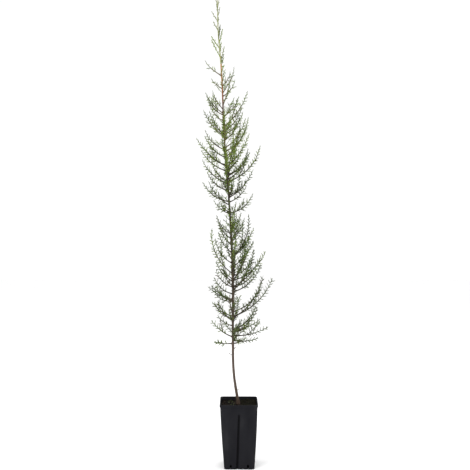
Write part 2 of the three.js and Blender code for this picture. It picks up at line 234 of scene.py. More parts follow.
# %% Extrude the wall ring by ring
def extruded(bm, ring):
    """Extrude a ring of edges in place: the new ring and its vertices."""
    grown = bmesh.ops.extrude_edge_only(bm, edges=ring)["geom"]
    edges = [g for g in grown if isinstance(g, bmesh.types.BMEdge) and g.is_boundary]
    return edges, [g for g in grown if isinstance(g, bmesh.types.BMVert)]


def close_rings(bm, *rings):
    """Fill rings, turn all faces outwards, and count the edges still open."""
    for ring in rings:
        bmesh.ops.edgeloop_fill(bm, edges=ring)
    bmesh.ops.recalc_face_normals(bm, faces=bm.faces[:])
    return sum(e.is_boundary for e in bm.edges)


# Each pair is half the ring's width and its height.
levels = [DRAIN_LOW, 8, 11, DRAIN_HIGH] + [20 + 5.6 * step for step in range(32)]
underside = [(38, 0.4), (45.6, 0.0), (47.2, 0.15), (47.9, 0.7), (48.05, 2.3)]
outside = [(wall_half(z), z) for z in levels]
lip = [(58.8, 196.2), (59.6, 196.7), (60.2, 197.2), (LIP_HALF, 198.2), (LIP_HALF, 203.4), (60.25, 204.4),
       (59.7, 204.9), (59.2, POT_HEIGHT), (58.3, POT_HEIGHT), (57.7, 204.6), (57.5, 203.6)]
inside = [(half - WALL, z) for half, z in reversed(outside)]
bottom = [(46.2, 4.3), (44, 4.0)]
CORNER_SHARE, CORNER_STEPS, SIDE_CUTS = 0.153, 7, 95

bm = bmesh.new()
bmesh.ops.create_grid(bm, x_segments=1, y_segments=1, size=1.0)
bmesh.ops.bevel(bm, geom=bm.verts[:], offset=CORNER_SHARE, segments=CORNER_STEPS, profile=0.5,
                affect="VERTICES", material=-1)
sides = [e for e in bm.edges if e.calc_length() > 0.5]
bmesh.ops.subdivide_edges(bm, edges=sides, cuts=SIDE_CUTS)
bmesh.ops.delete(bm, geom=bm.faces[:], context="FACES_ONLY")
column = bm.verts.layers.float_vector.new("column")
pressed = bm.verts.layers.float.new("pressed")
for vert in bm.verts:
    vert[column] = vert.co
    vert.co = pot_point(vert[column], *underside[0])
ring, first_ring = bm.edges[:], bm.edges[:]
for half, height in underside[1:] + outside + lip + inside + bottom:
    ring, verts = extruded(bm, ring)
    for vert in verts:
        vert.co = pot_point(vert[column], half, height)
        along, _ = along_wall(vert[column].x * half, vert[column].y * half)
        # The groove's depth on each vertex, which the pot's finish uses to paint shade into the groove.
        vert[pressed] = groove_depth(along, height) / GROOVE_DEPTH
still_open = close_rings(bm, first_ring, ring)
print("pot wall", len(bm.faces), "faces, open edges:", still_open)


# %% Cut the drain slots through both faces and join their edges
def drain_of(point):
    """The drain slot that a point lies in, as its wall and side, or nothing."""
    x, y, z = (v / MM for v in point)
    along, way = along_wall(x, y)
    if DRAIN_LOW < z < DRAIN_HIGH and abs(abs(along) - DRAIN_OFFSET) < DRAIN_HALF:
        return (way, along > 0)
    return None


slots = {}
for face in bm.faces:
    key = drain_of(face.calc_center_median()) if len(face.verts) == 4 else None
    if key:
        slots.setdefault(key, []).append(face)
cut = [face for faces in slots.values() for face in faces]
rims = [{e for face in faces for e in face.edges if not all(f in faces for f in e.link_faces)}
        for faces in slots.values()]
bmesh.ops.delete(bm, geom=cut, context="FACES")
for rim in rims:
    bmesh.ops.bridge_loops(bm, edges=[e for e in rim if e.is_valid])
still_open = close_rings(bm)
print("drain slots", len(rims), "open edges left:", still_open)

# %% [markdown]
# Black plastic is never quite black: watering leaves a dusty bloom, handling leaves scuffs, and the
# surface is faintly grained. Three noise patterns give these. The groove gets painted shade: its
# depth, kept on each vertex, darkens the colour there to a deeper black.

# %% Black plastic, and the finished pot
pot_plastic = Finish("pot_plastic", (0.014, 0.014, 0.017), 0.6, 0.05)
bloom = pot_plastic.ramp(pot_plastic.pattern(30, 5.0, (1, 1, 0.35)), [
    (0.35, (0.0090, 0.0090, 0.0112)), (0.62, (0.0125, 0.0125, 0.0150)), (0.8, (0.022, 0.022, 0.024))])
depth = pot_plastic.node("Attribute")
depth.attribute_name = "pressed"
# Painted shade: the groove's depth darkens the plastic's colour, down to a third at its deepest.
painted_groove_shade = pot_plastic.ramp(depth.outputs["Fac"], [(0.25, 1.0), (0.95, 0.3)])
pot_plastic.colour(bloom, painted_groove_shade)
pot_plastic.wear(0.5, 0.7, 120, 3.0, (0.3, 0.3, 1.5), full=0.75)
pot_plastic.grain(0.25, 0.0002, 900, 2.0)


def placed(name, mesh, finishes):
    """A mesh made into a smooth object that rides on the plant's one body."""
    for finish in finishes:
        mesh.materials.append(finish.material)
    mesh.polygons.foreach_set("use_smooth", np.ones(len(mesh.polygons), bool))
    thing = bpy.data.objects.new(name, mesh)
    scene.collection.objects.link(thing)
    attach(thing, "root")
    return thing


def finished_piece(name, bm, finish):
    """A piece from a bmesh, with one finish."""
    mesh = bpy.data.meshes.new(name)
    bm.to_mesh(mesh)
    bm.free()
    return placed(name, mesh, [finish])


pot = finished_piece("pot_shell", bm, pot_plastic)
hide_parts("pot")
print("pot", len(pot.data.polygons), "faces", [round(v, 4) for v in pot.dimensions])

# %% [markdown]
# ## The compost
# The pot is filled to a finger's width below its rim, higher and mossy on the right. A grid pushed up
# and down by noise gives the uneven bed, closed below to a real block that clears the wall's grooves.

# %% The bed: a rounded grid with a closed block under it
SOIL_TOP, BED_GAP, FOOT_X = 193.5, 0.5, -3
RIGHT_RISE, FOOT_RISE = 2.6, 1.2
LUMPS = [(1.7, 17, 3.1), (0.9, 6, 7.7), (0.5, 2.4, 1.3)]
BLOCK = [(182, 2.4), (174, 8.0), (90, 8.0), (8, 8.0)]


def bed_height(x, y):
    """Height of the compost: a rise to the right, one round the trunk, and lumps."""
    rise = RIGHT_RISE / (1 + math.exp(-(x - 6) / 9))
    rise += FOOT_RISE * math.exp(-((x - FOOT_X) ** 2 + y * y) / 260)
    lumps = sum(high * noise.noise((x / wide, y / wide, seed)) for high, wide, seed in LUMPS)
    return SOIL_TOP + rise + lumps


bm = bmesh.new()
bmesh.ops.create_grid(bm, x_segments=64, y_segments=64, size=1.0)
for vert in bm.verts:
    x, y = vert.co.x, vert.co.y
    half = (wall_half(SOIL_TOP) - WALL - BED_GAP) * (1 - 0.06 * x * x * y * y)
    vert.co = Vector((x * half + pot_lean(SOIL_TOP), y * half, bed_height(x * half, y * half))) * MM
ring = [e for e in bm.edges if e.is_boundary]
for height, inset in BLOCK:
    ring, verts = extruded(bm, ring)
    for vert in verts:
        share = (wall_half(height) - inset) * MM / max(abs(vert.co.x), abs(vert.co.y))
        vert.co = Vector((vert.co.x * share, vert.co.y * share, height * MM))
still_open = close_rings(bm, ring)
print("compost bed", len(bm.faces), "faces, open edges:", still_open)

# %% [markdown]
# Compost is peat and composted bark: nearly black where damp, brown where dry, with an olive film of
# moss on the right. A ramp over noise gives the damp and dry patches.

# %% Compost finish
compost = Finish("compost", (0.02, 0.014, 0.009), 0.95, 0.05)
compost.colour(compost.ramp(compost.pattern(70, 6.0), [
    (0.32, (0.0018, 0.0015, 0.0013)), (0.5, (0.004, 0.0031, 0.0023)), (0.66, (0.015, 0.0105, 0.007))]))
compost.wear(0.8, 1.0, 45)
compost.grain(0.7, 0.0007, 600, 6.0)
bed = finished_piece("compost_bed", bm, compost)
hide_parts("soil")
print("bed", len(bed.data.polygons), "faces")

# %% [markdown]
# On top lie crumbs and chips of bark, low tufts of moss and a few seedlings. Each kind is one joined
# mesh from arrays: a small shape of a few faces is stretched, turned and set down at seeded places.

# %% Helpers for many small things
SEED, FULL_TURN = 20, 6.28
BED_HALF, CORNER_REACH, FOOT_CLEAR = 54, 100, 9
dice = np.random.default_rng(SEED)


def joined_piece(name, points, faces, finishes, tints=None):
    """One mesh from arrays, in millimetres, with a finish for each face."""
    mesh = bpy.data.meshes.new(name)
    mesh.from_pydata((points * MM).tolist(), [], faces)
    if tints is not None:
        mesh.polygons.foreach_set("material_index", np.asarray(tints, np.int32))
    mesh.update()
    return placed(name, mesh, finishes)


def places_on_bed(count, low_x, high_x, lift):
    """Seeded places on the compost, inside the wall and off the trunk's foot."""
    across = dice.uniform(low_x, high_x, 3 * count)
    spots = np.stack([across, dice.uniform(-BED_HALF, BED_HALF, 3 * count)], -1)
    clear = (np.abs(spots).max(1) < BED_HALF) & (np.abs(spots).sum(1) < CORNER_REACH)
    clear &= np.hypot(spots[:, 0] - FOOT_X, spots[:, 1]) > FOOT_CLEAR
    spots = spots[clear][:count]
    return np.column_stack([spots, np.array([bed_height(x, y) for x, y in spots]) + lift])


def scattered(shape, places, sizes):
    """Points and faces of copies of a small shape: stretched, turned and set down."""
    shape.verts.ensure_lookup_table()
    corner = np.array([v.co for v in shape.verts])
    face = np.array([[v.index for v in f.verts] for f in shape.faces])
    shape.free()
    turns = dice.uniform(0, FULL_TURN, len(places))
    grown = corner[None] * sizes[:, None, :]
    flat = (grown[..., 0] + 1j * grown[..., 1]) * np.exp(1j * turns)[:, None]
    points = np.stack([flat.real, flat.imag, grown[..., 2]], -1) + places[:, None, :]
    faces = face[None] + (np.arange(len(places)) * len(corner))[:, None, None]
    return points.reshape(-1, 3), faces.reshape(-1, face.shape[1]).tolist()


print("seed for the loose things:", SEED)

# %% Crumbs and bark chips
CRUMBS, CHIP_SHARE = 900, 0.14
crumb = bmesh.new()
bmesh.ops.create_icosphere(crumb, subdivisions=1, radius=1.0)
for vert in crumb.verts:
    vert.co *= 0.9 + 0.4 * noise.noise(vert.co * 2.3)
spots = places_on_bed(CRUMBS, -BED_HALF, BED_HALF, -0.2)
sizes = dice.uniform(0.6, 2.3, (len(spots), 1)) * dice.uniform(0.6, 1.25, (len(spots), 3))
points, faces = scattered(crumb, spots, sizes)
bark_chip = Finish("bark_chip", (0.030, 0.019, 0.011), 0.9, 0.1)
bark_chip.grain(0.6, 0.0004, 500, 4.0, (1, 4, 4))
tints = np.repeat(dice.random(len(spots)) < CHIP_SHARE, len(faces) // len(spots))
crumbs = joined_piece("compost_crumbs", points, faces, [compost, bark_chip], tints)
print("crumbs", len(spots), "with", len(crumbs.data.polygons), "faces")

# %% Moss in low tufts, most of it on the right
TUFTS_RIGHT, TUFTS_LEFT = 1500, 160
tuft = bmesh.new()
bmesh.ops.create_cone(tuft, cap_ends=True, segments=3, radius1=1.0, radius2=0.0, depth=2.0)
spots = [places_on_bed(TUFTS_RIGHT, 4, BED_HALF, 0.5), places_on_bed(TUFTS_LEFT, -40, 4, 0.5)]
spots = np.vstack(spots)
sizes = np.column_stack([dice.uniform(0.4, 0.9, (len(spots), 2)), dice.uniform(0.6, 1.7, len(spots))])
points, faces = scattered(tuft, spots, sizes)
moss_green = Finish("moss_green", (0.013, 0.0135, 0.0055), 0.95, 0.1)
moss_green.grain(0.5, 0.0003, 900, 3.0)
joined_piece("moss_tufts", points, faces, [moss_green])
print("moss tufts", len(spots))

# %% A few pale seedlings on the left
SEEDLINGS, LEAF_THICKNESS = 26, 0.25
leaf = bmesh.new()
bmesh.ops.create_circle(leaf, cap_ends=True, segments=6, radius=1.0)
bmesh.ops.extrude_face_region(leaf, geom=leaf.faces[:])
leaf.verts.ensure_lookup_table()
for vert in leaf.verts[6:]:
    vert.co.z += LEAF_THICKNESS
bmesh.ops.recalc_face_normals(leaf, faces=leaf.faces[:])
bmesh.ops.triangulate(leaf, faces=leaf.faces[:])
spots = places_on_bed(SEEDLINGS, -34, -12, 1.2)
long_side, short_side = dice.uniform(1.0, 2.2, len(spots)), dice.uniform(0.7, 1.2, len(spots))
points, faces = scattered(leaf, spots, np.column_stack([long_side, short_side, np.full(len(spots), 0.9)]))
seedling_green = Finish("seedling_green", (0.21, 0.26, 0.09), 0.6, 0.4)
seedling_green.wear(0.5, 0.7, 300)
joined_piece("seedling_leaves", points, faces, [seedling_green])
print("seedling leaves", len(spots))

# %% [markdown]
# ## How the plant grows
# The crown follows one rule. Forty limbs in four rows leave the trunk, each an arc that turns up to a
# tip on the crown's outline. The rule and its sizes are those of the solids, so that bark and leaves
# grow where the solids are. A fixed share for each limb, twig and draw takes the place of chance.

# %% Shares, angles and smooth lines
def roll(limb, twig, draw):
    """A fixed share from 0 to 1 for one draw on one twig of one limb."""
    wave = np.sin(limb * 12.9898 + twig * 78.233 + draw * 37.719) * 43758.5453
    return wave - np.floor(wave)


def swing(limb, twig, draw):
    """The same share spread from -1 to 1."""
    return 2 * roll(limb, twig, draw) - 1


def mix(low, high, share):
    """A value between two others."""
    return low + (high - low) * share


def blend_in(value, start, end):
    """A share that rises smoothly from 0 at start to 1 at end."""
    share = min(1, max(0, (value - start) / (end - start)))
    return share * share * (3 - 2 * share)


def bell(value, middle, width):
    """A share that is 1 at the middle and falls away on both sides."""
    return math.exp(-((value - middle) / width) ** 2)


def cosd(degrees):
    return math.cos(math.radians(degrees))


def sind(degrees):
    return math.sin(math.radians(degrees))


def unit(vectors):
    """Vectors of length one."""
    return vectors / np.maximum(np.linalg.norm(vectors, axis=-1, keepdims=True), 1e-12)


def smooth_line(knots, count=1500):
    """A smooth curve through knots: points at even steps along it."""
    knots = np.array(knots, float)
    ends = np.vstack([2 * knots[0] - knots[1], knots, 2 * knots[-1] - knots[-2]])
    t = np.linspace(0, 1, 200, endpoint=False)[:, None]
    points = []
    for p0, p1, p2, p3 in zip(ends, ends[1:], ends[2:], ends[3:]):
        d0, d1, d2 = (np.linalg.norm(b - a) ** 0.5 for a, b in ((p0, p1), (p1, p2), (p2, p3)))
        t1 = ((p1 - p0) / d0 - (p2 - p0) / (d0 + d1) + (p2 - p1) / d1) * d1
        t2 = ((p2 - p1) / d1 - (p3 - p1) / (d1 + d2) + (p3 - p2) / d2) * d1
        square, cube = -3 * p1 + 3 * p2 - 2 * t1 - t2, 2 * p1 - 2 * p2 + t1 + t2
        points.append(p1 + t1 * t + square * t ** 2 + cube * t ** 3)
    points = np.vstack(points + [knots[-1:]])
    gone = np.concatenate([[0], np.cumsum(np.linalg.norm(np.diff(points, axis=0), axis=1))])
    even = np.linspace(0, gone[-1], count)
    return np.column_stack([np.interp(even, gone, points[:, i]) for i in range(3)])


def point_on(line, share):
    """A point on a smooth line at a share of its length."""
    places = np.linspace(0, 1, len(line))
    return np.stack([np.interp(share, places, line[:, i]) for i in range(3)], -1)


print("first share of limb 1:", round(float(roll(1, 0, 1)), 4))

# %% The trunk's line and its thickness
GAP = 0.3
TRUNK = smooth_line([(FOOT_X, 0, 194.3), (-18, -3, 299), (-20.5, 1, 414), (-21, 3, 604), (-32, -1, 834),
                     (-48, 1, 1044), (-54.5, 0, 1209), (-59, 0, 1289)])
LEADER = smooth_line([TRUNK[-1] + (0, 0, GAP), (-68, 2, 1394), (-70.5, 0, 1494)])
TRUNK_FOOT_RADIUS, TRUNK_TOP_RADIUS, ROOT_FLARE = 4.2, 2.1, 2.6


def trunk_radius(share):
    """The trunk's radius, with its root flare."""
    return mix(TRUNK_FOOT_RADIUS, TRUNK_TOP_RADIUS, share ** 1.15) + ROOT_FLARE * np.exp(-share / 0.02)


def trunk_share(height):
    """The share of the trunk's length at a height."""
    return np.interp(height, TRUNK[:, 2], np.linspace(0, 1, len(TRUNK)))


print("trunk from", TRUNK[0], "to", TRUNK[-1])

# %% [markdown]
# Each row of the two edge tables is one limb: its tip's height, its reach, and its lean off the upright
# in degrees. Limbs towards and away from us blend the two tables. The arc's bend, its turn about the
# trunk and a slight sway come from the limb's own shares.

# %% The crown's edge and its four rows
RIGHT_EDGE = np.array([
    (439, 120, 78), (503, 88, 46), (600, 128, 45), (687, 109, 48), (806, 54, 20), (873, 75, 48),
    (947, 82, 42), (1027, 105, 41), (1118, 74, 29), (1204, 78, 33), (1275, 41, 26)], float)
LEFT_EDGE = np.array([
    (391, 64, 88), (461, 73, 54), (522, 68, 55), (571, 82, 63), (654, 54, 38), (761, 66, 23),
    (851, 52, 48), (912, 94, 54), (1050, 96, 46), (1143, 68, 37), (1198, 57, 39), (1296, 56, 50)], float)
REACH, LEAN = 1, 2
# A row has its side, its bearing, how many of its limbs show a bare bough, and the heights of its tips.
ROWS = [("right", 0, 4, RIGHT_EDGE[:, 0]), ("left", 180, 4, LEFT_EDGE[:, 0]),
        ("front", -72, 3, 456 + 98.0 * np.arange(9)), ("back", 72, 4, 428 + 103.0 * np.arange(8))]
CROWN_FOOT, CROWN_TOP, BARE_BELOW, FORK_BELOW = 389, 1299, 719, 1235


def by_side(left, right, bearing):
    """A blend of a left and a right value."""
    return mix(left, right, (1 + cosd(bearing)) / 2)


def edge_at(height, bearing, column):
    """The reach or lean of the crown's edge at a height, on one side."""
    left, right = (np.interp(height, edge[:, 0], edge[:, column]) for edge in (LEFT_EDGE, RIGHT_EDGE))
    return by_side(left, right, bearing)


def crown_level(height):
    """How far up the crown a height is: 0 at its foot, 1 at its top."""
    return (height - CROWN_FOOT) / (CROWN_TOP - CROWN_FOOT)


print("crown at 600 mm reaches", [round(float(edge_at(600, turn, REACH))) for turn in (180, 0)], "mm")

# %% Limbs and forks
TIP_JITTER, LEAN_JITTER, TURN_JITTER, SWAY = 12, 6, 26, 3
BEND, BEND_JITTER, STEEPEST, LESSER_LEAN = 48, 16, 95, 44
LIMB_RADIUS, LIMB_TIP_RADIUS = 1.9, 0.3
BARE_SHARE, FORK_SHARE, FORK_TURN, FORK_SIZE, FORK_RISE = 0.2, 0.2, 44, 0.6, 14


def arc_reach(leave, arrive, share):
    """How far out and up an arc of length 1 gets at a share of its length."""
    start, turn = math.radians(leave), math.radians(arrive - leave)
    angle = start + turn * share
    return (math.cos(start) - np.cos(angle)) / turn, (np.sin(angle) - math.sin(start)) / turn


def limb_point(limb, share):
    """Points on a limb or fork at shares of its length."""
    share = np.asarray(share, float)
    out, up = arc_reach(limb.leave, limb.arrive, share)
    c, s = cosd(limb.bearing), sind(limb.bearing)
    sway = limb.sway * np.sin(2 * np.pi * share)
    x, y = limb.length * out * c - sway * s, limb.length * out * s + sway * c
    return limb.foot + np.stack([x, y, limb.length * up], -1)


def limb_way(limb, share):
    """The way a limb runs at shares of its length."""
    return unit(limb_point(limb, share + 0.01) - limb_point(limb, share - 0.01))


def limb_radius(limb, share):
    """A limb's radius at shares of its length."""
    return mix(limb.foot_radius, LIMB_TIP_RADIUS, np.clip(share, 0, 1) ** 2.2)


def limb_for(side, bearing, tip, index, number, bare, jitter, full=1.0, kind="limb"):
    """A limb worked out from its tip. A full of less than 1 falls short of the outline."""
    tip += jitter * TIP_JITTER * swing(number, 0, 1)
    reach = full * edge_at(tip, bearing, REACH)
    lean = edge_at(tip, bearing, LEAN) + jitter * LEAN_JITTER * swing(number, 0, 8)
    if kind == "lesser":
        lean += 0.5 * max(0, LESSER_LEAN - lean)
    bend = min(BEND + BEND_JITTER * swing(number, 0, 2), 2 * (STEEPEST - lean))
    leave, arrive = lean + bend / 2, lean - bend / 2
    out, up = arc_reach(leave, arrive, 1.0)
    foot_radius = LIMB_RADIUS * min(1, 0.45 + reach / 150)
    stand_off = trunk_radius(trunk_share(tip - reach * up / out)) + 1.3 * GAP
    stand_off += foot_radius * abs(cosd(leave))
    place = trunk_share(tip - (reach - stand_off) * up / out)
    turned = bearing + TURN_JITTER * swing(number, 0, 3)
    foot = point_on(TRUNK, place) + stand_off * np.array([cosd(turned), sind(turned), 0])
    return SimpleNamespace(
        number=number, kind=kind, name=f"{side}_{int(index) + 1:02d}", side=side, bearing=turned, leave=leave,
        arrive=arrive, foot=foot, foot_radius=foot_radius, length=(reach - stand_off) / out, tip=tip,
        sway=SWAY * swing(number, 0, 4), bare=bare, place=place, level=min(1, max(0, crown_level(tip))))


def fork_of(limb):
    """The second, steeper shoot that leaves a limb near its foot."""
    first = BARE_SHARE if limb.bare else 0.0
    start = first + FORK_SHARE * (1 - first)
    turn = FORK_TURN if roll(limb.number, 0, 5) >= 0.5 else -FORK_TURN
    return SimpleNamespace(**vars(limb) | dict(
        kind="fork", foot=limb_point(limb, start), sway=0, arrive=limb.arrive - 3,
        bearing=limb.bearing + turn * (0.75 + 0.5 * roll(limb.number, 0, 6)),
        leave=mix(limb.leave, limb.arrive, start) - FORK_RISE,
        length=limb.length * FORK_SIZE * (0.85 + 0.3 * roll(limb.number, 0, 7)),
        foot_radius=FORK_SIZE * float(limb_radius(limb, start))))


limbs = []
for side, bearing, boughs, tips in ROWS:
    jitter = side in ("front", "back")
    limbs += [limb_for(side, bearing, tip, index, len(limbs) + 1 + index, index < boughs, jitter)
              for index, tip in enumerate(tips)]
forks = [fork_of(limb) for limb in limbs if limb.tip < FORK_BELOW]
print("limbs", len(limbs), "longest", round(max(limb.length for limb in limbs)), "mm; forks", len(forks))

# %% [markdown]
# Between the main limbs stand lesser ones that stop short of the outline. Two tables say how full the
# crown is of them at each height, on the left and on the right.

# %% Lesser limbs between them, where the crown is full
FULL_RIGHT = np.array([
    (389, 0.9), (439, 0.9), (470, 0.4), (520, 0.3), (560, 0.5), (600, 0.6), (640, 0.9), (687, 0.8),
    (720, 0.9), (780, 0.85), (800, 0.3), (815, 0.0), (880, 0.15), (900, 0.4), (1020, 0.55), (1130, 0.7),
    (1190, 0.6), (1230, 0.4), (1300, 0.0)])
FULL_LEFT = np.array([
    (389, 0.0), (440, 0.1), (500, 0.3), (560, 0.25), (610, 0.1), (690, 0.15), (740, 0.9), (785, 0.95),
    (810, 0.8), (835, 0.6), (870, 0.0), (920, 0.2), (950, 0.6), (1000, 0.95), (1060, 0.8), (1090, 0.1),
    (1180, 0.35), (1230, 0.3), (1250, 0.1), (1300, 0.0)])
SUBSTEPS, FIRST_LESSER, ROW_STEP, DENSE_BELT = 6, 200, 100, (730, 70)
LOWEST_DROP, OPEN_TURN, DENSE_TURN, LESSER_JITTER = 34, -22, 28, 22


def fullness(height, bearing):
    """How much of the room between the main limbs is taken."""
    return by_side(np.interp(height, *FULL_LEFT.T), np.interp(height, *FULL_RIGHT.T), bearing)


lesser = []
for row, (side, bearing, _, tips) in enumerate(ROWS):
    due = 0.5
    for place in range(-1, SUBSTEPS * (len(tips) - 1)):
        if place % SUBSTEPS == 0:
            continue
        number = FIRST_LESSER + ROW_STEP * row + place
        height = np.interp(place / SUBSTEPS, np.arange(len(tips)), tips) - LOWEST_DROP * (place < 0)
        due += fullness(height, bearing)
        if due < 1:
            continue
        due -= 1
        turned = bearing + mix(OPEN_TURN, DENSE_TURN, bell(height, *DENSE_BELT)) * sind(bearing)
        turned += LESSER_JITTER * swing(number, 0, 9)
        if place > 0 and place % 2 and side in ("front", "back"):
            turned = 180 - turned
        lesser.append(limb_for(side, turned, height, max(0, place) / SUBSTEPS, number, height < BARE_BELOW, 1,
                               0.6 + 0.35 * roll(number, 0, 10), "lesser"))
stems = limbs + lesser + forks
print("lesser limbs", len(lesser), "stems in all", len(stems))

# %% [markdown]
# ## The trunk's bark
# Thin fibrous bark splits into narrow upright strips, with a low collar at each limb. Bump alone would
# leave a smooth outline, so a ring is extruded up the trunk and noise moves its vertices in and out.

# %% Extrude the trunk with strips, fissures and collars
SIDES, STEPS, ROOT_DEPTH = 22, 260, 6
COLLAR_NEAR, COLLAR_MOST = 14, 1.6


def bark_relief(turn, height, radius):
    """How far the bark stands out or splits at a place round and up the trunk."""
    x, y = math.cos(turn) * radius, math.sin(turn) * radius
    strip = noise.noise((x * 0.9, y * 0.9, height * 0.035))
    split = abs(noise.noise((x * 1.5 + 9, y * 1.5, height * 0.055)))
    flake = noise.noise((x * 2.4, y * 2.4 + 5, height * 0.22))
    return radius * (0.11 * strip + 0.10 * min(1, split * 5) - 0.08 + 0.05 * flake)


def collar(turn, height):
    """The swelling round the feet of the limbs."""
    swell = 0.0
    for limb in limbs:
        rise = height - limb.foot[2]
        if abs(rise) < COLLAR_NEAR:
            off = math.remainder(turn - math.radians(limb.bearing), 2 * math.pi)
            swell += 0.9 * limb.foot_radius * bell(off, 0, 0.55) * bell(rise, 0, 4.2)
    return min(swell, COLLAR_MOST)


bm = bmesh.new()
bmesh.ops.create_circle(bm, segments=SIDES, radius=1.0)
angle = bm.verts.layers.float.new("angle")
for vert in bm.verts:
    vert[angle] = math.atan2(vert.co.y, vert.co.x)
ring, first_ring, verts = bm.edges[:], bm.edges[:], bm.verts[:]
for step in range(STEPS + 1):
    share = (step / STEPS) ** 1.08
    (x, y, z), radius = point_on(TRUNK, share), float(trunk_radius(share))
    if step:
        ring, verts = extruded(bm, ring)
    for vert in verts:
        turn = vert[angle]
        out = radius + bark_relief(turn, z, radius) + collar(turn, z)
        sunk = 0 if step else ROOT_DEPTH
        vert.co = Vector((x + out * math.cos(turn), y + out * math.sin(turn), z - sunk)) * MM
still_open = close_rings(bm, first_ring, ring)
print("trunk", len(bm.faces), "faces, open edges:", still_open)

# %% [markdown]
# The bark is red-brown at the soil, grey-brown with a purple cast above it, darkest in the shade of
# the crown, and bright orange-brown on last year's growth just under the green leader. A ramp over
# height carries these tones, and long fibres of noise break them up.

# %% Bark finish
trunk_bark = Finish("trunk_bark", (0.06, 0.045, 0.03), 0.85, 0.2)
place = trunk_bark.node("TexCoord").outputs["Object"]
rise = trunk_bark.node("MapRange", Value=trunk_bark.node("SeparateXYZ", Vector=place).outputs["Z"])
trunk_bark.feed(rise, {"From Min": 0.194, "From Max": 1.294})
tone = trunk_bark.ramp(rise.outputs["Result"], [
    (0.0, (0.062, 0.038, 0.026)), (0.035, (0.098, 0.070, 0.052)), (0.12, (0.112, 0.080, 0.066)),
    (0.24, (0.068, 0.050, 0.034)), (0.62, (0.045, 0.032, 0.018)), (0.80, (0.060, 0.038, 0.018)),
    (0.86, (0.100, 0.045, 0.022)), (0.91, (0.26, 0.095, 0.042)), (0.95, (0.50, 0.21, 0.080)),
    (0.985, (0.60, 0.28, 0.105)), (1.0, (0.42, 0.30, 0.11))])
fibre = trunk_bark.ramp(trunk_bark.pattern(420, 5.0, (1, 1, 0.08)), [(0.3, 0.45), (0.55, 0.85), (0.72, 1.25)])
trunk_bark.colour(tone, fibre)
trunk_bark.wear(0.7, 0.95, 300)
trunk_bark.grain(0.5, 0.0004, 900, 4.0, (1, 1, 0.1))
trunk = finished_piece("trunk_with_bark", bm, trunk_bark)
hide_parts("trunk")
print("trunk", [round(v, 4) for v in trunk.dimensions])

# %% [markdown]
# ## Woody limbs
# Limbs and forks are woody for a little over half their length, and green beyond. Each is a slim
# ridged tube that starts inside the trunk's bark and swells at its foot. All make one joined mesh.

# %% Tubes from arrays
def ring_turns(sides):
    """The angles of a ring's corners."""
    return np.arange(sides) * 2 * np.pi / sides


def perpendicular(way):
    """Two directions square to each way: one level, one upwards."""
    level = np.stack([-way[..., 1], way[..., 0], np.zeros(way.shape[:-1])], -1)
    flat = np.linalg.norm(level, axis=-1, keepdims=True) < 0.05
    level = unit(np.where(flat, (1.0, 0, 0), level))
    level = unit(level - way * (level * way).sum(-1, keepdims=True))
    return level, np.cross(way, level)


def tube_faces(count, rings, sides):
    """Faces of many tubes, and how many each has: quads, a fan at the tip, one face at the foot."""
    around = np.arange(sides)
    after = (around + 1) % sides
    quads = np.stack([around, after, after + sides, around + sides], -1)
    quads = (quads + sides * np.arange(rings - 1)[:, None, None]).reshape(-1, 4)
    fans = np.stack([around, after, np.full(sides, sides)], -1) + (rings - 1) * sides
    one = quads.tolist() + fans.tolist() + [around[::-1].tolist()]
    stride = rings * sides + 1
    return [[corner + tube * stride for corner in face] for tube in range(count) for face in one], len(one)


def tube_points(centres, ways, radii, tips, girths):
    """Points of many tubes: rings of the given girths round their centres, then each tip."""
    level, upward = perpendicular(ways)
    turn = ring_turns(girths.shape[-1])
    spoke = np.cos(turn)[:, None] * level[..., None, :] + np.sin(turn)[:, None] * upward[..., None, :]
    rings = centres[..., None, :] + spoke * (radii[..., None] * girths)[..., None]
    return np.concatenate([rings.reshape(len(centres), -1, 3), tips[:, None, :]], 1).reshape(-1, 3)


def ridge(stem, turn, run):
    """The girth of a woody limb at an angle round it and a run along it."""
    x, y = math.cos(turn), math.sin(turn)
    broad = noise.noise((x * 1.6, y * 1.6 + stem.number, run * 0.16))
    fine = noise.noise((x * 2.5 + 4, y * 2.5, run * 0.6 + stem.number))
    return 1 + 0.16 * broad + 0.10 * fine


WOODY, LIMB_RINGS, LIMB_SIDES, LEAST_RADIUS, FOOT_SWELL, SWELL_RUN = 0.58, 24, 7, 0.42, 0.55, 3.5
shares = np.linspace(0, 1, LIMB_RINGS) ** 1.1
tubes = []
for stem in stems:
    sunk = -0.01 if stem.kind == "fork" else -(trunk_radius(stem.place) + 0.4) / stem.length
    s = mix(sunk, WOODY, shares)
    swell = 1 + FOOT_SWELL * np.exp(-np.maximum(s, 0) * stem.length / SWELL_RUN)
    radii = np.maximum(limb_radius(stem, s), LEAST_RADIUS) * swell
    ridges = [[ridge(stem, turn, run) for turn in ring_turns(LIMB_SIDES)] for run in s * stem.length]
    tubes.append((limb_point(stem, s), limb_way(stem, s), radii, limb_point(stem, s[-1] + 0.01), ridges))
points = tube_points(*(np.array(column) for column in zip(*tubes)))
faces, per_tube = tube_faces(len(stems), LIMB_RINGS, LIMB_SIDES)
print("limb tubes", len(stems), "faces", len(faces))

# %% Limb bark in two browns: dark on old limbs, lighter on young ones high up
YOUNG_ABOVE = 1080
dark_limb = Finish("dark_limb", (0.036, 0.028, 0.018), 0.85, 0.2)
dark_limb.wear(0.7, 0.95, 400)
red_limb = Finish("red_limb", (0.105, 0.085, 0.042), 0.8, 0.25)
red_limb.wear(0.65, 0.9, 400)
for finish in (dark_limb, red_limb):
    finish.grain(0.5, 0.0003, 1200, 4.0)
young = np.repeat([stem.tip > YOUNG_ABOVE for stem in stems], per_tube)
woody = joined_piece("limb_bark", points, faces, [dark_limb, red_limb], young)
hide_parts(*[f"bough_{limb.name}" for limb in limbs if limb.bare])
print("limb bark", len(woody.data.polygons), "faces; bare boughs:", sum(limb.bare for limb in limbs))

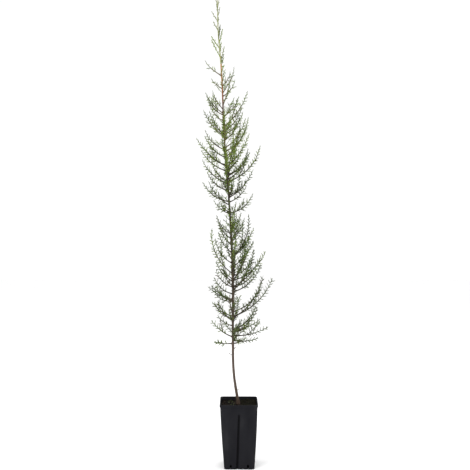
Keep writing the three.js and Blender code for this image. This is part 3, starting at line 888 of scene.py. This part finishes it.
# %% [markdown]
# ## Sprays of scale leaves
# A cypress has no flat leaves. Its twigs are cords of tiny scales that overlap like roof tiles, in
# crossed pairs, and branch again and again: side shoots stand on the limbs, spurs along limbs and
# shoots, and the finest branchlets on the spurs.

# %% The way a twig leaves its stem
def side_way(along, spread, around):
    """The way a twig leaves a stem: spread degrees off the stem's line, turned about it."""
    steep = np.abs(along[..., 2:3]) > 0.97
    side = unit(np.cross(along, np.where(steep, (0, 1.0, 0), (0, 0, 1.0))))
    top = np.cross(side, along)
    a, b = np.radians(around)[..., None], np.radians(spread)[..., None]
    return unit(along * np.cos(b) + (side * np.cos(a) + top * np.sin(a)) * np.sin(b))


def heading(bearing, lean):
    """The way of a shoot with this bearing, lean degrees off the upright."""
    turn, tilt = np.radians(bearing), np.radians(lean)
    return np.stack([np.cos(turn) * np.sin(tilt), np.sin(turn) * np.sin(tilt), np.cos(tilt)], -1)


class Cords:
    """Many scaly cords, kept as arrays: root, way, bend, length, thickness, tint and limb."""

    def __init__(self):
        self.parts = []

    def add(self, root, way, bend, *values):
        """More cords. A single value stands for all of them."""
        full = [np.broadcast_to(np.asarray(value, float), len(root)) for value in values]
        self.parts.append((root, way, np.broadcast_to(bend, way.shape), *full))

    def arrays(self):
        return [np.concatenate(column) for column in zip(*self.parts)]

    def count(self):
        return sum(len(part[0]) for part in self.parts)


def cord_point(root, way, bend, length, share):
    """Points on bent cords at shares of their length."""
    run = (length * share)[..., None]
    return root + way * run + bend * (run * np.asarray(share)[..., None])


print("a shoot 46 degrees off the upright:", np.round(heading(0, 46), 2))

# %% [markdown]
# A spray has one tint, dealt out by height and place: fresher high up and inside the crown, greyer on
# the limbs and low down, and dry here and there near the foot.

# %% Tints, dealt out by spray
TINTS = ["fresh", "mid", "deep", "grey", "dull", "pale", "dry"]
# Up to this level of the crown: the odds of each tint inside, and on the limbs.
ODDS = [
    (0.32, (0.08, 0.34, 0.18, 0.16, 0.12, 0.0, 0.12), (0.05, 0.28, 0.27, 0.25, 0.12, 0.0, 0.03)),
    (0.62, (0.28, 0.40, 0.18, 0.08, 0.04, 0.0, 0.02), (0.08, 0.28, 0.38, 0.18, 0.08, 0.0, 0.0)),
    (0.9, (0.72, 0.22, 0.0, 0.0, 0.0, 0.06, 0.0), (0.48, 0.33, 0.08, 0.11, 0.0, 0.0, 0.0)),
    (math.inf, (0.45, 0.25, 0.0, 0.0, 0.0, 0.30, 0.0), (0.34, 0.28, 0.0, 0.18, 0.0, 0.20, 0.0))]


def tint_for(height, inner, chance):
    """The tint of a spray."""
    inside, outside = next(odds for top, *odds in ODDS if crown_level(height) < top)
    odds = inside if inner else outside
    return int(np.searchsorted(np.cumsum(odds) / sum(odds), chance))


print("a low and a high spray:", [TINTS[tint_for(height, False, 0.5)] for height in (450, 1250)])

# %% Side shoots and spurs on every limb and fork
shoots, spurs = Cords(), Cords()
UPTURN = np.array([0, 0, 0.12])
SPUR_RADIUS, SHOOT_RADIUS, KEPT_SPURS, BARE_TIP = 1.15, 1.0, 0.92, 4.5


def add_spurs(point_at, way_at, length, first, number, draw, tints, spacing, longest, owner, taper=10):
    """Spurs in two tints along a stem, a quarter turn apart, shorter over the last taper millimetres."""
    last = 1 - BARE_TIP / length
    count = max(2, int(length * (last - first) / spacing))
    twig = np.arange(count)
    share = first + (last - first) * (twig + 0.5) / count
    around = 90 * twig + 30 * swing(number, twig, draw)
    spread = mix(60, 38, share ** 5) + 10 * swing(number, twig, draw + 1)
    way = side_way(way_at(share), spread, around)
    size = longest * np.clip((1 - share) * length / taper, 0.3, 1) * np.where(twig % 2, 1.05, 0.8)
    size = size * (0.75 + 0.4 * roll(number, twig, draw + 2))
    keep = roll(number, twig, draw + 3) < KEPT_SPURS
    tint = np.where(roll(number, twig, draw + 4) < 0.6, tints[0], tints[1])
    spurs.add(point_at(share)[keep], way[keep], UPTURN * 0.5, size[keep], SPUR_RADIUS, tint[keep], owner)


def add_shoot(root, way, length, owner, draw, tint, spacing, longest, radius=SHOOT_RADIUS, first=0.2):
    """One side shoot and the spurs along it."""
    shoots.add(root[None], way[None], UPTURN, length, radius, tint, owner)
    add_spurs(lambda s: cord_point(root, way, UPTURN, length, s),
              lambda s: unit(way + 2 * UPTURN * s[:, None]), length, first, owner + 0.37, draw, (tint, tint),
              spacing, longest, owner)


LAST_SHOOT = {"limb": 0.5, "lesser": 0.35, "fork": 0.5}
SHOOT_SPACING, SHOOT_SPUR, SPUR_STEP = 3.4, 5.5, 2.6
# Each pair is the value low in the crown and in its airy upper part.
SHOOT_STEP, SHOOT_LENGTH, SPUR_LENGTH, SPUR_TAPER = (13, 11), (15, 20), (12.0, 11.5), (14, 34)
for stem in stems:
    is_fork = stem.kind == "fork"
    draw = 30 if is_fork else 10
    low = 1 - blend_in(stem.level, 0.12, 0.3)
    airy = blend_in(stem.level, 0.3, 0.55)
    slight = blend_in(stem.level, 0.85, 1.0)
    bare = BARE_SHARE if stem.bare and not is_fork else 0.0
    first = 0.3 if is_fork else max(bare, 0.17)
    last = mix(LAST_SHOOT[stem.kind], 0.7, airy)
    count = max(2, round(stem.length * (last - first) / (mix(*SHOOT_STEP, airy) + 8 * slight + 8 * low)))
    twig = np.arange(count)
    share = mix(first, last, (twig + 0.5) / count)
    around = 90 + 180 * twig + 70 * swing(stem.number, twig, draw)
    length = mix(*SHOOT_LENGTH, airy) * (1 - 0.5 * share) * (0.7 + 0.6 * roll(stem.number, twig, draw + 1))
    way = side_way(limb_way(stem, share), 52 + 10 * swing(stem.number, twig, draw + 3), around)
    root = limb_point(stem, share)
    for k in twig:
        tint = tint_for(root[k, 2], share[k] < 0.5, roll(stem.number, k, draw + 5))
        add_shoot(root[k], way[k], length[k], stem.number, 100 + 7 * k, tint, SHOOT_SPACING, SHOOT_SPUR)
    own = [tint_for(stem.tip, False, roll(stem.number, place, draw + 2)) for place in (1, 2)]
    add_spurs(lambda s: limb_point(stem, s), lambda s: limb_way(stem, s), stem.length, max(bare, 0.15),
              stem.number, draw + 60, own, SPUR_STEP + 1.2 * slight + 0.3 * low,
              mix(*SPUR_LENGTH, airy) - 3 * slight, stem.number, mix(*SPUR_TAPER, airy))
print("side shoots", shoots.count(), "spurs", spurs.count())

# %% [markdown]
# The trunk bears short shoots of its own, each turned on by the golden angle. They stand close where
# the crown is dense and near the top, and few point towards or away from us, so that the stem shows
# through. A few dry twigs are left on the bare foot below.

# %% Short shoots on the trunk itself
INNER_FOOT, INNER_TOP, INNER_STEP, GOLDEN_TURN, FIRST_INNER = 424, 1305, 10.5, 137.5, 300
INNER_SPACING, INNER_SPUR, INNER_BARE, LEAST_REACH = 3.6, 9.0, 0.38, 52
INNER_LEAN, TOP_FROM_TO = (52, 33), (1130, 1220)
# Belts of the crown, each with its middle and half its width.
CLOSE, CLOSE_HIGH, SPARSE, SPARSE_LEFT, HIDDEN = (740, 75), (1020, 50), (835, 45), (775, 40), (715, 60)


def inner_step(height, top):
    """How far up the trunk the next shoot stands."""
    step = INNER_STEP * (1 - 0.6 * bell(height, *CLOSE)) * (1 - 0.35 * bell(height, *CLOSE_HIGH))
    return step * mix(1, 0.4, top)


def inner_chance(height, bearing, top):
    """The chance that a shoot stands at this height and bearing."""
    sparse = bell(height, *SPARSE) + bell(height, *SPARSE_LEFT) * (1 - cosd(bearing))
    chance = 0.1 + fullness(height, bearing) + 0.3 * sparse + top * (0.5 + 0.6 * cosd(bearing))
    return chance * (1 - 0.85 * abs(sind(bearing)) ** 3 * (1 - bell(height, *HIDDEN)))


def side_of(bearing):
    """The row of limbs that a bearing belongs to."""
    if abs(cosd(bearing)) > 0.5:
        return "right" if cosd(bearing) > 0 else "left"
    return "front" if sind(bearing) < 0 else "back"


height, place, top = INNER_FOOT - INNER_STEP, -1, 0
while height < INNER_TOP:
    place += 1
    height += inner_step(height, top)
    top = blend_in(height, *TOP_FROM_TO)
    number, bearing = FIRST_INNER + place, GOLDEN_TURN * place
    if roll(number, 0, 1) > inner_chance(height, bearing, top):
        continue
    way = heading(bearing, mix(*INNER_LEAN, top) + 12 * swing(number, 0, 2))
    row = [limb for limb in limbs if limb.side == side_of(bearing)]
    near = min(row, key=lambda limb: abs(limb.tip - height - 40))
    tint = tint_for(height, top < 0.5, roll(number, 0, 3))
    length = max(edge_at(height, bearing, REACH), LEAST_REACH) * (0.32 + 0.26 * roll(number, 0, 4))
    add_shoot(point_on(TRUNK, trunk_share(height)), way, length, near.number, 500 + 7 * place, tint,
              INNER_SPACING, INNER_SPUR, first=INNER_BARE)
print("with the inner shoots: side shoots", shoots.count(), "spurs", spurs.count())

# %% Dry twigs left on the bare foot of the trunk
# Each has its height, bearing and length.
DRY_TWIGS = [(350, 186, 20), (238, -12, 16), (318, 100, 14), (284, 262, 12), (371, 30, 15)]
FIRST_DRY, DRY_RADIUS = 700, 0.7
for place, (height, bearing, length) in enumerate(DRY_TWIGS):
    way = heading(bearing, 72 + 8 * swing(FIRST_DRY + place, 0, 1))
    near = next(limb for limb in limbs if limb.side == side_of(bearing))
    add_shoot(point_on(TRUNK, trunk_share(height)), way, length, near.number, 900 + 7 * place,
              TINTS.index("dry"), 5.0, 4.5, DRY_RADIUS)
print("dry twigs", len(DRY_TWIGS))

# %% The leader, its twigs and their spurs
LEADER_ID, LEADER_TWIGS, TWIG_SPACING = 99, 14, 3.0
# Each pair is the value at the leader's foot and at its tip.
TWIG_PLACE, TWIG_LENGTH, TWIG_SPUR, TWIG_RADIUS = (0.03, 0.95), (56, 17), (6.5, 4.5), (1.8, 1.4)
twig = np.arange(LEADER_TWIGS)
share = mix(*TWIG_PLACE, twig / (LEADER_TWIGS - 1))
length = mix(*TWIG_LENGTH, share) * (0.8 + 0.35 * roll(LEADER_ID, twig, 1))
bearing = 180 * twig + 90 * (twig % 3 == 2) + 25 * swing(LEADER_ID, twig, 2)
way = heading(bearing, 24 - 9 * np.cos(np.radians(bearing)) + 7 * swing(LEADER_ID, twig, 3))
root = point_on(LEADER, share)
for k in twig:
    tint = TINTS.index("pale")
    if share[k] < 0.5:
        tint = tint_for(CROWN_TOP, False, roll(LEADER_ID, k, 5))
    add_shoot(root[k], way[k], length[k], LEADER_ID, 200 + 10 * k, tint, TWIG_SPACING,
              mix(*TWIG_SPUR, share[k]), mix(*TWIG_RADIUS, share[k]))
print("with the leader: side shoots", shoots.count(), "spurs", spurs.count())

# %% [markdown]
# Up to three of the finest branchlets stand on each spur, each a third of a turn on. They are worked
# out for all spurs at once.

# %% Branchlets on the spurs
BRANCHLET_PLACES, BRANCHLET_RADIUS, LEAST_SPUR = (0.1, 0.25, 0.42), 0.6, 4
root, way, bend, length, _, tint, limb = spurs.arrays()
branchlets = Cords()
serial = np.arange(len(root))
odds = np.interp(root[:, 2], [400, 800, 1200, 1300], [0.7, 0.7, 0.6, 0.4])
for place, share in enumerate(BRANCHLET_PLACES):
    # Spurs are counted round primes, so that no two draws repeat together.
    around = 120 * place + 50 * swing(serial % 997, place, 71)
    size = (1.0 + 0.30 * length) * (0.75 + 0.5 * roll(serial % 991, place, 72))
    keep = (length > LEAST_SPUR) & (roll(serial % 983, place, 73) < odds)
    aim = side_way(way, 27 + 7 * swing(serial % 977, place, 74), around)
    base = cord_point(root, way, bend, length, share)
    branchlets.add(base[keep], aim[keep], UPTURN * 0.5, size[keep], BRANCHLET_RADIUS, tint[keep], limb[keep])
print("branchlets", branchlets.count())

# %% [markdown]
# Each cord is a four-sided tube whose rings swell to the tips of one pair of scales, then shrink to
# where the next begins. The pairs alternate, which gives a cypress twig its braided look. Branchlets
# are too fine for that, and are spindles.

# %% Scaly tubes
def scale_girths(pairs, taper):
    """Ring places and girths of a cord with this many crossed pairs of scales."""
    places, girths = [], []
    for pair in range(pairs):
        even = (np.arange(4) + pair) % 2
        thin = 1 - taper * pair / pairs
        places += [pair / pairs, (pair + 0.72) / pairs]
        girths += [thin * (0.70 + 0.10 * even), thin * (0.82 + 0.42 * even)]
    return np.array(places), np.array(girths)


def cord_tubes(cords, places, girths, bent=True):
    """Points of all these cords, the tint and limb of each, and their rings and sides."""
    root, way, bend, length, radius, tint, limb = cords.arrays()
    tips = cord_point(root, way, bend, length, 1.0)
    root, way, bend = root[:, None], way[:, None], bend[:, None]
    centres = cord_point(root, way, bend, length[:, None], places)
    ways = unit(way + 2 * bent * bend * places[:, None])
    points = tube_points(centres, ways, radius[:, None], tips, girths)
    return points.reshape(len(tint), -1, 3), tint.astype(int), limb, *girths.shape


SPINDLE = np.array([0.0, 0.42]), np.array([[0.6] * 3, [1.05] * 3])
kinds = [cord_tubes(shoots, *scale_girths(9, 0.35)), cord_tubes(spurs, *scale_girths(4, 0.3)),
         cord_tubes(branchlets, *SPINDLE, bent=False)]
print("cords", [len(kind[0]) for kind in kinds])

# %% The green ends of limbs and forks, as scaly tubes with more pairs
END_RADIUS = 1.05
places, girths = scale_girths(26, 0.35)
s = mix(WOODY - 0.02, 0.995, places)
ends = []
for stem in stems:
    thick = np.maximum(limb_radius(stem, s) * 1.1, END_RADIUS)
    ends.append(tube_points(limb_point(stem, s)[None], limb_way(stem, s)[None], thick[None],
                            limb_point(stem, [1.0]), girths))
deep = np.full(len(stems), TINTS.index("deep"))
kinds.append((np.array(ends), deep, np.array([stem.number for stem in stems]), *girths.shape))
print("green ends", len(ends))

# %% [markdown]
# Fresh growth is a clear yellow-green, older sprays are duller and greyer, and a few have dried out.
# Each tint is a plain base colour; roughness and a fine bump give the waxy, scaly skin.

# %% Seven foliage finishes
LEAF_COLOURS = {
    "fresh": (0.160, 0.225, 0.026), "mid": (0.102, 0.152, 0.020), "deep": (0.050, 0.080, 0.014),
    "grey": (0.078, 0.098, 0.032), "dull": (0.058, 0.070, 0.020), "pale": (0.175, 0.200, 0.075),
    "dry": (0.085, 0.064, 0.042)}
leaf_finishes = [Finish(f"scale_leaf_{name}", LEAF_COLOURS[name], 0.6, 0.3) for name in TINTS]
for finish in leaf_finishes:
    finish.wear(0.5, 0.75, 500)
    finish.grain(0.35, 0.0002, 1800, 2.0)
print("leaf finishes", [finish.material.name for finish in leaf_finishes])

# %% Join the sprays, tier by tier
HIGH_ABOVE = 840


def spray_piece(name, numbers):
    """All the cords of the limbs with these numbers as one piece, and its triangles."""
    points, faces, tints, start = [], [], [], 0
    for cords, tint, owner, rings, sides in kinds:
        mine = np.isin(owner, numbers)
        made, per_tube = tube_faces(mine.sum(), rings, sides)
        faces += [[corner + start for corner in face] for face in made]
        points.append(cords[mine].reshape(-1, 3))
        tints.append(np.repeat(tint[mine], per_tube))
        start += len(points[-1])
    piece = joined_piece(name, np.concatenate(points), faces, leaf_finishes, np.concatenate(tints))
    return piece, sum(len(face) - 2 for face in faces)


tiers = {}
for limb in limbs + lesser:
    tiers.setdefault(f"{limb.side}_{'low' if limb.tip < HIGH_ABOVE else 'high'}", []).append(limb)
total = 0
for tier, members in tiers.items():
    spray, triangles = spray_piece(f"sprays_{tier}", [limb.number for limb in members])
    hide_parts(*[f"foliage_{limb.name}" for limb in members if limb.kind == "limb"])
    total += triangles
    print(spray.name, "has", len(members), "limbs and", triangles, "triangles")
spray, triangles = spray_piece("leader_sprays", [LEADER_ID])
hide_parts("leader_shoot")
print("foliage triangles in all:", total + triangles)

# %% [markdown]
# The leader is this year's growth: a ribbed green stem with brownish streaks, not yet woody. It is one
# tube along the leader's line, sunk a little into the trunk's tip.

# %% The leader's green stem
STEM_SIDES, STEM_SUNK, STEM_RADIUS = 8, 2.0, (2.2, 1.1)
s = np.linspace(0, 1, 60)
line = point_on(LEADER, s) - np.array([0, 0, STEM_SUNK]) * (1 - s)[:, None] ** 8
ways = unit(point_on(LEADER, np.clip(s + 0.01, 0, 1)) - point_on(LEADER, np.clip(s - 0.01, 0, 1)))
ribs = 1 + 0.10 * np.sin(2 * ring_turns(STEM_SIDES) + 9 * (s * 12)[:, None])
points = tube_points(line[None], ways[None], mix(*STEM_RADIUS, s ** 1.2)[None], LEADER[-1:], ribs)
faces, _ = tube_faces(1, len(s), STEM_SIDES)
young_green = Finish("young_green", (0.27, 0.29, 0.12), 0.6, 0.3)
young_green.colour(young_green.ramp(young_green.pattern(300, 3.0, (1, 1, 0.2)), [
    (0.3, (0.19, 0.215, 0.08)), (0.6, (0.30, 0.31, 0.13)), (0.78, (0.34, 0.26, 0.13))]))
young_green.grain(0.4, 0.0003, 1200, 3.0)
leader_stem = joined_piece("leader_stem", points, faces, [young_green])
print("leader stem", len(leader_stem.data.polygons), "faces")

# %% [markdown]
# ## The size
# The dressed plant may not outgrow the imported one.
